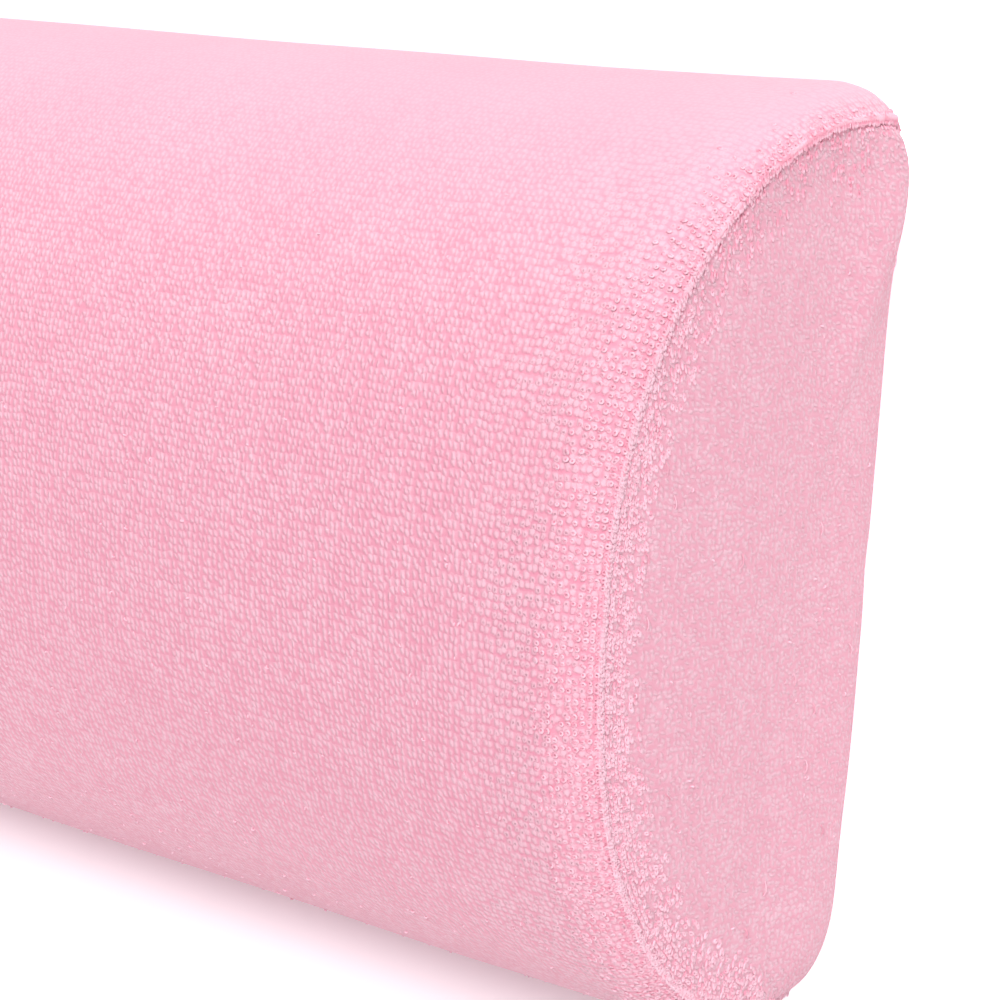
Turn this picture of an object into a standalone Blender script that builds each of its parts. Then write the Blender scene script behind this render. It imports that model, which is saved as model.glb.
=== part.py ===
"""Hand rest cushion: a half-round foam block in a sewn terry cover, lying on its flat base.

The cover is a wrap with a closing seam along the base and two D-shaped end panels.
At each end the wrap rolls in, folds back under itself and meets the turned-in edge of the panel.
Everything is a loft of one D-shaped section, taken further or less far inside the wrap's outer face.
"""

import math

import bmesh
import bpy

# Driving dimensions, in metres. X runs along the cushion, Y across its base, Z up to its crest.
LENGTH = 0.300
WIDTH = 0.125
HEIGHT = 0.069
CORNER_RADIUS = 0.0112
ARCH_POWER_UP = 2.08
ARCH_POWER_ACROSS = 2.47

CLOTH = 0.0015
GAP = 0.0003
FOLD_GAP = 0.0004
ALLOWANCE = 0.0065

ROLL_LENGTH = 0.009
ROLL_DEPTH = 0.004
ROLL_END_HEADING = math.radians(45)

PANEL_EDGE_RADIUS = 0.0019
PANEL_CROWN = 0.0025

BASE_SEAM_DIP = 0.0008
BASE_SEAM_SPREAD = 0.0025

SHOULDER_LENGTH = 0.007
FOAM_EDGE_CHAMFER = 0.001
SMALLEST_CORNER = 0.001

ARCH_STEPS = 32
CORNER_STEPS = 4
ROLL_STEPS = 4
FOLD_STEPS = 5
CROWN_STEPS = 5

PINK = (0.93, 0.55, 0.66, 1.0)
FOAM_WHITE = (0.90, 0.88, 0.80, 1.0)

# Sizes that follow from those above.
FOLD_RADIUS = CLOTH + FOLD_GAP / 2
FOAM_SIDE = CLOTH + GAP


def superellipse(angle, half_across, rise):
    """A point of the arch, with the angle running from one foot, at 0, to the other, at pi."""
    across = math.cos(angle)
    up = max(math.sin(angle), 0.0)
    y = half_across * math.copysign(abs(across) ** (2 / ARCH_POWER_ACROSS), across)
    return y, rise * up ** (2 / ARCH_POWER_UP)


def arch_points(half_across, rise, radius):
    """The arch, moved outwards by the corner radius along its own normals."""
    points = []
    for step in range(ARCH_STEPS + 1):
        angle = math.pi * step / ARCH_STEPS
        y, z = superellipse(angle, half_across, rise)
        if step == 0:
            normal = (1.0, 0.0)
        elif step == ARCH_STEPS:
            normal = (-1.0, 0.0)
        else:
            before = superellipse(angle - 0.01, half_across, rise)
            after = superellipse(angle + 0.01, half_across, rise)
            along = (after[0] - before[0], after[1] - before[1])
            size = math.hypot(*along)
            normal = (along[1] / size, -along[0] / size)
        points.append((y + radius * normal[0], z + radius * normal[1]))
    return points


def base_height(y):
    """How far the closing seam draws the base cloth up."""
    return BASE_SEAM_DIP * math.exp(-((y / BASE_SEAM_SPREAD) ** 2))


def section(inset):
    """The D-shaped outline that lies inset from the wrap's outer face, from the closing seam round to it again."""
    radius = max(CORNER_RADIUS - inset, SMALLEST_CORNER)
    foot = inset + radius
    half_across = WIDTH / 2 - foot
    rise = HEIGHT - foot - inset - radius
    base_side = []
    for y in (GAP / 2, 0.5 * BASE_SEAM_SPREAD, BASE_SEAM_SPREAD, 2.5 * BASE_SEAM_SPREAD):
        base_side.append((y, inset + base_height(y)))
    corner = []
    for step in range(CORNER_STEPS):
        turn = 0.5 * math.pi * step / CORNER_STEPS
        corner.append((half_across + radius * math.sin(turn), foot - radius * math.cos(turn)))
    right_side = base_side + corner
    arch = [(y, foot + z) for y, z in arch_points(half_across, rise, radius)]
    left_side = [(-y, z) for y, z in reversed(right_side)]
    return right_side + arch + left_side


def arc(start, heading_from, heading_to, radius, steps):
    """Points of a profile that turns at this radius, after its start, with headings measured from +X."""
    centre_x = start[0] - radius * math.sin(heading_from)
    centre_inset = start[1] + radius * math.cos(heading_from)
    points = []
    for step in range(1, steps + 1):
        heading = heading_from + (heading_to - heading_from) * step / steps
        x = centre_x + radius * math.sin(heading)
        points.append((x, centre_inset - radius * math.cos(heading)))
    return points


def wrap_end_profile(roll_start):
    """The wrap's outer face at an end, as (x, inset): the roll, the fold under, and the turned-in edge."""
    last = math.atan(math.tan(ROLL_END_HEADING) * ROLL_LENGTH / ROLL_DEPTH)
    points = []
    for step in range(ROLL_STEPS + 1):
        angle = last * step / ROLL_STEPS
        x = roll_start + ROLL_LENGTH * math.sin(angle)
        points.append((x, ROLL_DEPTH * (1 - math.cos(angle))))
    points += arc(points[-1], ROLL_END_HEADING, math.pi, FOLD_RADIUS, FOLD_STEPS)
    points.append((points[-1][0] - ALLOWANCE, points[-1][1]))
    return points


def panel_profile(face_x, edge_inset):
    """The end panel's outer face, as (x, inset), from its turned-in edge to the middle of its crown."""
    start = (face_x - PANEL_EDGE_RADIUS, edge_inset)
    points = [(start[0] - ALLOWANCE, edge_inset), start]
    for step in range(1, FOLD_STEPS):
        turn = 0.5 * math.pi * step / (FOLD_STEPS - 1)
        x = start[0] + PANEL_EDGE_RADIUS * math.sin(turn)
        points.append((x, edge_inset + PANEL_EDGE_RADIUS * (1 - math.cos(turn))))
    rim_inset = points[-1][1]
    middle_inset = 0.43 * HEIGHT
    for step in range(1, CROWN_STEPS + 1):
        share = step / CROWN_STEPS
        x = face_x + PANEL_CROWN * (1 - (1 - share) ** 2)
        points.append((x, rim_inset + (middle_inset - rim_inset) * share))
    return points


def foam_end_profile(lip_end_x, face_x, edge_inset):
    """The foam's surface at an end, as (x, inset), pressed in where the turned-in edges of the cloth lie."""
    pressed_inset = edge_inset + CLOTH + GAP
    points = []
    for share in (0.0, 0.25, 0.5, 0.75, 1.0):
        x = lip_end_x - GAP - SHOULDER_LENGTH * (1 - share)
        depth = 0.5 - 0.5 * math.cos(math.pi * share)
        points.append((x, FOAM_SIDE + (pressed_inset - FOAM_SIDE) * depth))
    end_x = face_x - CLOTH - GAP
    points.append((end_x - FOAM_EDGE_CHAMFER, pressed_inset))
    points.append((end_x, pressed_inset + FOAM_EDGE_CHAMFER))
    for x, inset in panel_profile(face_x, edge_inset)[-CROWN_STEPS:]:
        points.append((x - CLOTH - GAP, inset))
    return points


def loft(name, profile, closed, capped):
    """A surface through one section for each (x, inset) of the profile, its faces towards the outside."""
    mesh = bpy.data.meshes.new(name)
    shape = bmesh.new()
    rings = []
    for x, inset in profile:
        rings.append([shape.verts.new((x, y, z)) for y, z in section(inset)])
    for first, second in zip(rings, rings[1:]):
        count = len(first)
        for index in range(count if closed else count - 1):
            after = (index + 1) % count
            shape.faces.new((first[index], first[after], second[after], second[index]))
    if "start" in capped:
        shape.faces.new(list(reversed(rings[0])))
    if "end" in capped:
        shape.faces.new(rings[-1])
    shape.normal_update()
    shape.to_mesh(mesh)
    shape.free()
    mesh.shade_smooth()
    mesh.set_sharp_from_angle(angle=math.radians(40))
    return bpy.data.objects.new(name, mesh)


def give_thickness(piece):
    """Cloth lies behind the face that was drawn."""
    solidify = piece.modifiers.new("cloth", "SOLIDIFY")
    solidify.thickness = CLOTH
    solidify.offset = -1.0
    solidify.use_even_offset = True


def material(name, colour, roughness):
    made = bpy.data.materials.new(name)
    made.use_nodes = True
    shader = made.node_tree.nodes["Principled BSDF"]
    shader.inputs["Base Color"].default_value = colour
    shader.inputs["Roughness"].default_value = roughness
    shader.inputs["Metallic"].default_value = 0.0
    return made


def mirrored(profile):
    return [(-x, inset) for x, inset in reversed(profile)]


for old in list(bpy.data.objects):
    bpy.data.objects.remove(old, do_unlink=True)

parts = bpy.data.collections.new("hand_rest_cushion")
bpy.context.scene.collection.children.link(parts)

face_x = LENGTH / 2 - PANEL_CROWN
drawn_at_zero = wrap_end_profile(0.0)
roll_start = face_x - max(x for x, inset in drawn_at_zero)
wrap_end = wrap_end_profile(roll_start)
lip_end_x, lip_inset = wrap_end[-1]
edge_inset = lip_inset + GAP
panel_end_x = face_x - PANEL_EDGE_RADIUS - ALLOWANCE
foam_end = foam_end_profile(min(lip_end_x, panel_end_x), face_x, edge_inset)
panel_end = panel_profile(face_x, edge_inset)

cover_wrap = loft("cover_wrap", mirrored(wrap_end) + wrap_end, closed=False, capped=())
give_thickness(cover_wrap)
cover_wrap.data.materials.append(material("terry_wrap", PINK, 0.95))

end_panel_right = loft("end_panel_right", panel_end, closed=True, capped=("end",))
give_thickness(end_panel_right)
end_panel_right.data.materials.append(material("terry_panel_right", PINK, 0.95))

end_panel_left = loft("end_panel_left", mirrored(panel_end), closed=True, capped=("start",))
give_thickness(end_panel_left)
end_panel_left.data.materials.append(material("terry_panel_left", PINK, 0.95))

foam_core = loft("foam_core", mirrored(foam_end) + foam_end, closed=True, capped=("start", "end"))
foam_core.data.materials.append(material("open_cell_foam", FOAM_WHITE, 0.9))

for piece in (cover_wrap, end_panel_right, end_panel_left, foam_core):
    parts.objects.link(piece)
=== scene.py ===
import math

import bpy
import numpy as np
from mathutils import Euler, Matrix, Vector, noise


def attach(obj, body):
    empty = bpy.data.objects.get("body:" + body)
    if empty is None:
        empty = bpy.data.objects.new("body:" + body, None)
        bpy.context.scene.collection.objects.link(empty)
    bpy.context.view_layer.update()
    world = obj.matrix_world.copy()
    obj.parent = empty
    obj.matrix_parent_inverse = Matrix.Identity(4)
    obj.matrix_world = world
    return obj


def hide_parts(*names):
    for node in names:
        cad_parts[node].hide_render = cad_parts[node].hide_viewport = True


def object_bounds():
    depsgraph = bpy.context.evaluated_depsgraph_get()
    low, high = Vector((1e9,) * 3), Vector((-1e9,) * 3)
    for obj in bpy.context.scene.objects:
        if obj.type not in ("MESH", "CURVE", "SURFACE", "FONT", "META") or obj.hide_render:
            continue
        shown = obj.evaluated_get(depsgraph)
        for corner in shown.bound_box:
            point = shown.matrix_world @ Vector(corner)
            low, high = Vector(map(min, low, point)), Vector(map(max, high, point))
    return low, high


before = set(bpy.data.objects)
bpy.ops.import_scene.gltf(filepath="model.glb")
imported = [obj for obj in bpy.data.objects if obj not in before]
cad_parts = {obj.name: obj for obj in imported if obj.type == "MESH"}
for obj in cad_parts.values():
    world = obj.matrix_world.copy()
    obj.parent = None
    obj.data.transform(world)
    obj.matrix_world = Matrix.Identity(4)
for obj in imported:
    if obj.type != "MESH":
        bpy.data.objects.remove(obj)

cadLow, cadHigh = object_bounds()
scene = bpy.context.scene
mm = 0.001

# The whole rest. Every cloth piece is cut from one outline, taken further in at the sewn ends.
rest = {
    "length": cadHigh.x - cadLow.x,
    "width": cadHigh.y - cadLow.y,
    "height": cadHigh.z,
    "corner": 11.2 * mm,
    "archUp": 2.08,
    "archAcross": 2.47,
    "panelCrown": 2.5 * mm,
    "seamMark": 6 * mm,  # how far from a seam its mark on the cloth fades out
    "cornerSteps": 60,
    "archSteps": 1500,
    "slopeOver": 0.5 * mm,  # distance over which the outline's direction is taken
}

wrapCut = {
    "columns": 74,  # round the section
    "nearSeam": np.array([0.5, 1.4, 2.6]) * mm,  # columns beside the closing seam
    "bodyStep": 6.2 * mm,
    "rollSteps": 9,
    "rollLength": 9 * mm,
    "rollDepth": 5.3 * mm,
    "rollHeading": math.radians(45),
    "foldRadius": 0.45 * mm,
    "foldSteps": 8,
    "lip": 3 * mm,
    "thickness": 1.2 * mm,
    "seamDip": 0.8 * mm,
    "seamSpread": 2.5 * mm,
    "seamSlit": 0.3 * mm,
}

padding = {
    "pressure": 4.0,
    "stiffness": 20,
    "frames": 20,
    "mostSwell": 0.9 * mm,
    "heldEnds": 14 * mm,
    "heldBase": 2 * mm,
    "unevenness": 0.35 * mm,
    "lumpSize": 42 * mm,
    "evenBase": (3 * mm, 12 * mm),  # kept even up to the first, with the second to fade over
    "evenEnds": (4 * mm, 10 * mm),
    "bulgesFrom": 7 * mm,  # height from which the bulges have their full size
}

panelCut = {
    "columns": 90,
    "rings": np.array([0.008, 0.02, 0.04, 0.06, 0.085, 0.115, 0.15, 0.2, 0.3, 0.4, 0.52, 0.66, 0.8, 0.93]),
    "edgeRadius": 0.3 * mm,
    "edgeSteps": 6,
    "gap": 0.1 * mm,
    "lip": 3 * mm,
    "valley": 0.2 * mm,
    "valleyAt": 0.10,  # share of the way in from the edge to the middle
    "valleyWide": 0.05,
    "wayIn": 30 * mm,
    "middle": 0.43,  # height of the crown's middle, as a share of the height
    "thickness": 1.2 * mm,
}

# How far the sewn ends wander along X, by the share of the way round from the closing seam.
wander = {
    "right": ([0.0, 0.03, 0.08, 0.11, 0.14, 0.165, 0.185, 0.20, 0.24, 0.30, 0.36, 0.42,
               0.48, 0.54, 0.60, 0.66, 0.71, 0.75, 0.80, 0.84, 0.88, 0.93, 1.0],
              np.array([0.3, 0.0, -0.5, -0.9, -1.0, 0.7, 2.1, 2.0, 1.3, 1.2, 0.6, -0.2,
                        -0.6, -0.2, 0.5, 1.2, 1.7, 1.5, 0.9, 0.2, 0.1, 0.5, 0.3]) * mm),
    "left": ([0.0, 0.2, 0.35, 0.5, 0.65, 0.8, 1.0],
             np.array([0.0, 0.4, -0.5, 0.3, -0.4, 0.5, 0.0]) * mm),
    "fade": 26 * mm,
    "samples": 201,
    "smoothing": 5,  # samples to each side that a place is averaged with
}

# On the base side the sewn ends lie further in, and the panels puff out and round over to meet them.
roundOver = {
    "right": ([0.0, 0.13, 0.165, 0.19, 0.215, 0.24, 0.73, 0.77, 0.80, 0.83, 0.87, 0.93, 1.0],
              np.array([1.7, 2.2, 2.6, 2.0, 0.6, 0.0, 0.0, 1.2, 2.9, 3.4, 2.6, 2.0, 1.7]) * mm),
    "left": ([0.0, 0.13, 0.18, 0.80, 0.86, 1.0],
             np.array([1.8, 1.8, 0.0, 0.0, 1.8, 1.8]) * mm),
    "within": 0.15,  # share of the way in from the edge to the panel's middle
    "puff": 0.9,  # as a share of how far in the seam lies
    "puffFade": 0.65,  # share of the way in over which the puff fades out
    "mostPuff": 2.0 * mm,
}

# Where an end rolls in deeper than elsewhere, as a share of the roll's depth.
deepRolls = [
    {"end": 1, "share": 0.205, "round": 0.035, "by": 0.34},
    {"end": -1, "share": 0.80, "round": 0.04, "by": 0.2},
]

# Where the padding bulges, or is drawn in where "out" is negative. Each is placed by x and by the share
# of the way round the section, with how far it reaches along and round.
bulges = [
    {"x": 136 * mm, "along": 26 * mm, "share": 0.205, "round": 0.05, "out": 0.8 * mm},
    {"x": 146 * mm, "along": 14 * mm, "share": 0.17, "round": 0.035, "out": 1.1 * mm},
    {"x": 147 * mm, "along": 12 * mm, "share": 0.80, "round": 0.035, "out": -0.2 * mm},
    {"x": -138 * mm, "along": 22 * mm, "share": 0.76, "round": 0.06, "out": 0.8 * mm},
    {"x": -147 * mm, "along": 12 * mm, "share": 0.22, "round": 0.05, "out": -0.6 * mm},
]


def clearSelection():
    for thing in bpy.context.selected_objects:
        thing.select_set(False)


def makeActive(thing):
    clearSelection()
    thing.select_set(True)
    bpy.context.view_layer.objects.active = thing


def applyModifiers(thing):
    makeActive(thing)
    for modifier in list(thing.modifiers):
        bpy.ops.object.modifier_apply(modifier=modifier.name)


def placesOf(thing):
    flat = np.empty(len(thing.data.vertices) * 3, np.float32)
    thing.data.vertices.foreach_get("co", flat)
    return flat.reshape(-1, 3).astype(float)


def movePoints(thing, places):
    thing.data.vertices.foreach_set("co", np.asarray(places, np.float32).ravel())
    thing.data.update()


def smoothStep(share):
    return share * share * (3 - 2 * share)


# The D-shaped outline, from the closing seam under the base, up over the arch and back to it.
def outlineOfSection():
    radius = rest["corner"]
    foot = rest["width"] / 2 - radius
    rise = rest["height"] - 2 * radius
    turn = np.linspace(0, math.pi / 2, rest["cornerSteps"])
    corner = np.column_stack([foot + radius * np.sin(turn), radius - radius * np.cos(turn)])
    angle = np.linspace(0, math.pi / 2, rest["archSteps"])[1:]
    across = foot * np.cos(angle) ** (2 / rest["archAcross"])
    up = rise * np.sin(angle) ** (2 / rest["archUp"])
    stepY = np.gradient(across, angle)
    stepZ = np.gradient(up, angle)
    size = np.hypot(stepY, stepZ)
    arch = np.column_stack([across + radius * stepZ / size, radius + up - radius * stepY / size])
    half = np.vstack([[[0.0, 0.0]], corner, arch])
    half = half[np.concatenate([[True], np.hypot(*np.diff(half, axis=0).T) > 1e-7])]
    return np.vstack([half, half[-2::-1] * [-1, 1]])


outline = outlineOfSection()
outlineRun = np.concatenate([[0.0], np.cumsum(np.hypot(*np.diff(outline, axis=0).T))])
girth = outlineRun[-1]


def outlineAt(share):
    run = np.clip(share, 0, 1) * girth
    return np.stack([np.interp(run, outlineRun, outline[:, axis]) for axis in (0, 1)], -1)


# Places on a cloth piece's face: x, how far inside the outline, and the share of the way round.
def onSection(x, inset, share, sign=1):
    step = rest["slopeOver"] / girth
    along = outlineAt(share + step) - outlineAt(share - step)
    along /= np.linalg.norm(along, axis=-1, keepdims=True)
    inward = np.stack([-along[..., 1], along[..., 0]], -1)
    out = np.zeros(np.broadcast(x, share).shape)
    for bulge in bulges:
        apart = np.abs((share - bulge["share"] + 0.5) % 1.0 - 0.5) / bulge["round"]
        out += bulge["out"] * np.exp(-((x * sign - bulge["x"]) / bulge["along"]) ** 2 - apart**2)
    face = outlineAt(share)
    out *= np.clip(face[..., 1] / padding["bulgesFrom"], 0, 1)  # the base stays flat
    deeper = np.ones(out.shape)
    for roll in deepRolls:
        onEnd = x * sign * roll["end"] > 0
        deeper += roll["by"] * np.exp(-((share - roll["share"]) / roll["round"]) ** 2) * onEnd
    place = face + (inset * deeper - out)[..., None] * inward
    dip = wrapCut["seamDip"] * np.exp(-(place[..., 0] / wrapCut["seamSpread"]) ** 2)
    low = place[..., 1] < rest["height"] / 2
    return np.stack([x, place[..., 0], place[..., 1] + np.where(low, dip, 0)], -1)


def smoothLine(points, share):
    smooth = np.linspace(0, 1, wander["samples"])
    kernel = np.hanning(2 * wander["smoothing"] + 1)
    line = np.pad(np.interp(smooth, *points), wander["smoothing"], "wrap")
    return np.interp(share, smooth, np.convolve(line, kernel / kernel.sum(), "valid"))


# How far an end's cloth is moved along X, on the seam and further in on the panel.
def wanderAt(side, share, inward=0.0):
    left = 1 - np.clip(inward / roundOver["within"], 0, 1)
    back = 1 - np.sqrt(1 - left**2)
    beyond = np.clip((inward - roundOver["within"]) / roundOver["puffFade"], 0, 1)
    over = smoothLine(roundOver[side], share)
    puff = np.minimum(roundOver["puff"] * over, roundOver["mostPuff"])
    puff = puff * (1 - back) * (1 - smoothStep(beyond))
    return smoothLine(wander[side], share) * (1 - inward) ** 2 + puff - over * back


# The wrap's face at an end, from where it starts to roll in: x past that place, and inset.
def endProfile():
    last = math.atan(math.tan(wrapCut["rollHeading"]) * wrapCut["rollLength"] / wrapCut["rollDepth"])
    angle = np.linspace(0, last, wrapCut["rollSteps"])
    x = wrapCut["rollLength"] * np.sin(angle)
    inset = wrapCut["rollDepth"] * (1 - np.cos(angle))
    radius = wrapCut["foldRadius"]
    heading = np.linspace(wrapCut["rollHeading"], math.pi, wrapCut["foldSteps"])[1:]
    middleX = x[-1] - radius * math.sin(wrapCut["rollHeading"])
    middleInset = inset[-1] + radius * math.cos(wrapCut["rollHeading"])
    x = np.concatenate([x, middleX + radius * np.sin(heading)])
    inset = np.concatenate([inset, middleInset - radius * np.cos(heading)])
    lip = np.array([0.5, 1.0]) * wrapCut["lip"]
    return np.concatenate([x, x[-1] - lip]), np.concatenate([inset, [inset[-1]] * 2])


endX, endInset = endProfile()
faceX = rest["length"] / 2 - rest["panelCrown"]
rollStart = faceX - endX.max()
panelInset = endInset[-1] + panelCut["gap"]


def runAlong(x, inset):
    return np.concatenate([[0.0], np.cumsum(np.hypot(np.diff(x), np.diff(inset)))])


# A grid primitive is the flat cloth, and each of its points goes to its place on the form.
def sewWrap():
    steps = round(2 * rollStart / wrapCut["bodyStep"])
    body = np.linspace(-rollStart, rollStart, steps + 1)
    x = np.concatenate([-endX[:0:-1], np.zeros(len(body)), endX[1:]])
    x += np.concatenate([[-rollStart] * (len(endX) - 1), body, [rollStart] * (len(endX) - 1)])
    inset = np.concatenate([endInset[:0:-1], np.zeros(len(body)), endInset[1:]])
    run = runAlong(x, inset)
    run -= run[-1] / 2
    even = np.linspace(0, 1, wrapCut["columns"] + 1)[1:-1]
    near = wrapCut["nearSeam"] / girth
    slit = wrapCut["seamSlit"] / 2 / girth
    share = np.concatenate([[slit], near, even, 1 - near[::-1], [1 - slit]])
    clearSelection()
    bpy.ops.mesh.primitive_grid_add(x_subdivisions=len(x) - 1, y_subdivisions=len(share) - 1, size=1)
    wrap = bpy.context.active_object
    wrap.name = "terryWrap"
    flat = placesOf(wrap)
    i = np.rint((flat[:, 0] + 0.5) * (len(x) - 1)).astype(int)
    j = np.rint((flat[:, 1] + 0.5) * (len(share) - 1)).astype(int)
    places = onSection(x[i], inset[i], share[j])
    reach = np.clip((np.abs(x[i]) - faceX + wander["fade"]) / wander["fade"], 0, 1)
    for side, sign in (("right", 1), ("left", -1)):
        places[:, 0] += np.where(x[i] * sign > 0, smoothStep(reach) * wanderAt(side, share[j]) * sign, 0)
    movePoints(wrap, places)
    writeCloth(wrap, np.stack([run[i], share[j] * girth], -1), run[-1] - wrapCut["lip"] - np.abs(run[i]))
    turnOutwards(wrap)
    return wrap


# The flat cloth as a UV map in metres, and how near each point is to the sewn seam.
def writeCloth(piece, flatPlaces, fromSeam):
    layer = piece.data.uv_layers[0] if piece.data.uv_layers else piece.data.uv_layers.new(name="cloth")
    layer.name = "cloth"
    corners = np.empty(len(piece.data.loops), np.int32)
    piece.data.loops.foreach_get("vertex_index", corners)
    layer.data.foreach_set("uv", flatPlaces[corners].astype(np.float32).ravel())
    near = np.clip(1 - np.abs(fromSeam) / rest["seamMark"], 0, 1)
    mark = piece.data.attributes.new("seam", "FLOAT", "POINT")
    mark.data.foreach_set("value", near.astype(np.float32))


def turnOutwards(piece):
    makeActive(piece)
    bpy.ops.object.mode_set(mode="EDIT")
    bpy.ops.mesh.select_all(action="SELECT")
    bpy.ops.mesh.normals_make_consistent(inside=False)
    bpy.ops.object.mode_set(mode="OBJECT")


# The padding swells the cloth between the sewn ends and the base that it lies on.
def swell(piece):
    before = placesOf(piece)
    held = (np.abs(before[:, 0]) > faceX - padding["heldEnds"]) | (before[:, 2] < padding["heldBase"])
    group = piece.vertex_groups.new(name="held")
    group.add([int(k) for k in np.flatnonzero(held)], 1.0, "REPLACE")
    makeActive(piece)
    bpy.ops.object.modifier_add(type="CLOTH")
    cloth = piece.modifiers[-1]
    cloth.settings.vertex_group_mass = "held"
    cloth.settings.use_pressure = True
    cloth.settings.uniform_pressure_force = padding["pressure"]
    cloth.settings.effector_weights.gravity = 0
    cloth.settings.tension_stiffness = padding["stiffness"]
    cloth.settings.compression_stiffness = padding["stiffness"]
    cloth.collision_settings.use_collision = False
    for number in range(1, padding["frames"] + 1):
        scene.frame_set(number)
    bpy.ops.object.modifier_apply(modifier=cloth.name)
    scene.frame_set(1)
    move = placesOf(piece) - before
    far = np.linalg.norm(move, axis=1, keepdims=True)
    move *= np.minimum(1, padding["mostSwell"] / np.maximum(far, 1e-9))
    movePoints(piece, before + move)
    print("padding: swelled by up to", round(float(far.max()) * 1000, 2), "mm before the cap")


def makeUneven(piece):
    places = placesOf(piece)
    normals = np.empty(len(places) * 3, np.float32)
    piece.data.vertices.foreach_get("normal", normals)
    normals = normals.reshape(-1, 3)
    lumps = np.array([noise.noise(Vector(p) / padding["lumpSize"]) for p in places])
    even, fade = padding["evenBase"]
    free = np.clip((places[:, 2] - even) / fade, 0, 1)
    even, fade = padding["evenEnds"]
    free *= np.clip((faceX - even - np.abs(places[:, 0])) / fade, 0, 1)
    movePoints(piece, places + normals * (lumps * free * padding["unevenness"])[:, None])


def giveThickness(piece, thickness):
    solidify = piece.modifiers.new("cloth", "SOLIDIFY")
    solidify.thickness = thickness
    solidify.offset = -1
    solidify.use_even_offset = True
    soften = piece.modifiers.new("soften", "SUBSURF")
    soften.levels = 1
    soften.render_levels = 1
    applyModifiers(piece)
    piece.data.shade_smooth()


# The panel's face by rings, from its turned-in edge to the middle: x, inset, share of the way in.
def panelRings():
    radius = panelCut["edgeRadius"]
    turn = np.linspace(0, math.pi / 2, panelCut["edgeSteps"])
    x = np.concatenate([[faceX - radius - panelCut["lip"]], faceX - radius + radius * np.sin(turn)])
    inset = np.concatenate([[panelInset], panelInset + radius * (1 - np.cos(turn))])
    inward = panelCut["rings"]
    rise = rest["panelCrown"] * (1 - (1 - inward) ** 2)
    rise -= panelCut["valley"] * np.exp(-((inward - panelCut["valleyAt"]) / panelCut["valleyWide"]) ** 2)
    x = np.concatenate([x, faceX + rise])
    inset = np.concatenate([inset, np.full(len(inward), inset[-1])])
    return x, inset, np.concatenate([np.zeros(len(x) - len(inward)), inward])


def sewPanel(side, sign):
    x, inset, inward = panelRings()
    count = panelCut["columns"]
    clearSelection()
    bpy.ops.mesh.primitive_circle_add(vertices=count, radius=1, fill_type="NOTHING")
    panel = bpy.context.active_object
    panel.name = "terryPanel" + side.capitalize()
    bpy.ops.object.mode_set(mode="EDIT")
    bpy.ops.mesh.select_all(action="SELECT")
    for ring in range(len(x) - 1):
        bpy.ops.mesh.extrude_edges_move(TRANSFORM_OT_translate={"value": (0, 0, 1)})
    bpy.ops.mesh.edge_face_add()
    bpy.ops.object.mode_set(mode="OBJECT")
    raw = placesOf(panel)
    ring = np.rint(raw[:, 2]).astype(int)
    share = (np.arctan2(raw[:, 1], raw[:, 0]) / (2 * math.pi)) % 1.0
    places = onSection(x[ring], inset[ring], share, sign)
    middle = np.array([0.0, 0.0, rest["height"] * panelCut["middle"]])
    for axis in (1, 2):
        places[:, axis] += (middle[axis] - places[:, axis]) * inward[ring]
    places[:, 0] += wanderAt(side, share, inward[ring])
    places[:, 0] *= sign
    movePoints(panel, places)
    run = runAlong(x, inset) + inward * panelCut["wayIn"] - panelCut["lip"]
    writeCloth(panel, places[:, 1:] + [0.5, 0.5], run[ring])
    turnOutwards(panel)
    giveThickness(panel, panelCut["thickness"])
    return panel


print("wrap: sewing")
wrap = sewWrap()
swell(wrap)
makeUneven(wrap)
giveThickness(wrap, wrapCut["thickness"])
print("wrap:", len(wrap.data.polygons), "faces")
panels = [sewPanel("right", 1), sewPanel("left", -1)]
print("panels:", [len(panel.data.polygons) for panel in panels], "faces")


# Shader maths: a wrapped socket adds Math nodes to its own tree as the expression is worked out.
class Wire:
    def __init__(self, socket):
        self.socket = socket

    @staticmethod
    def plug(slot, value):
        if isinstance(value, Wire):
            slot.id_data.links.new(value.socket, slot)
        else:
            slot.default_value = value

    @staticmethod
    def maths(operation, *values):
        tree = next(value.socket.id_data for value in values if isinstance(value, Wire))
        node = tree.nodes.new("ShaderNodeMath")
        node.operation = operation
        for slot, value in zip(node.inputs, values):
            Wire.plug(slot, value)
        return Wire(node.outputs[0])

    def __add__(self, other):
        return Wire.maths("ADD", self, other)

    def __radd__(self, other):
        return Wire.maths("ADD", other, self)

    def __sub__(self, other):
        return Wire.maths("SUBTRACT", self, other)

    def __rsub__(self, other):
        return Wire.maths("SUBTRACT", other, self)

    def __mul__(self, other):
        return Wire.maths("MULTIPLY", self, other)

    def __rmul__(self, other):
        return Wire.maths("MULTIPLY", other, self)

    def __truediv__(self, other):
        return Wire.maths("DIVIDE", self, other)

    def __rtruediv__(self, other):
        return Wire.maths("DIVIDE", other, self)

    def __pow__(self, other):
        return Wire.maths("POWER", self, other)

    def __abs__(self):
        return Wire.maths("ABSOLUTE", self)


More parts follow.
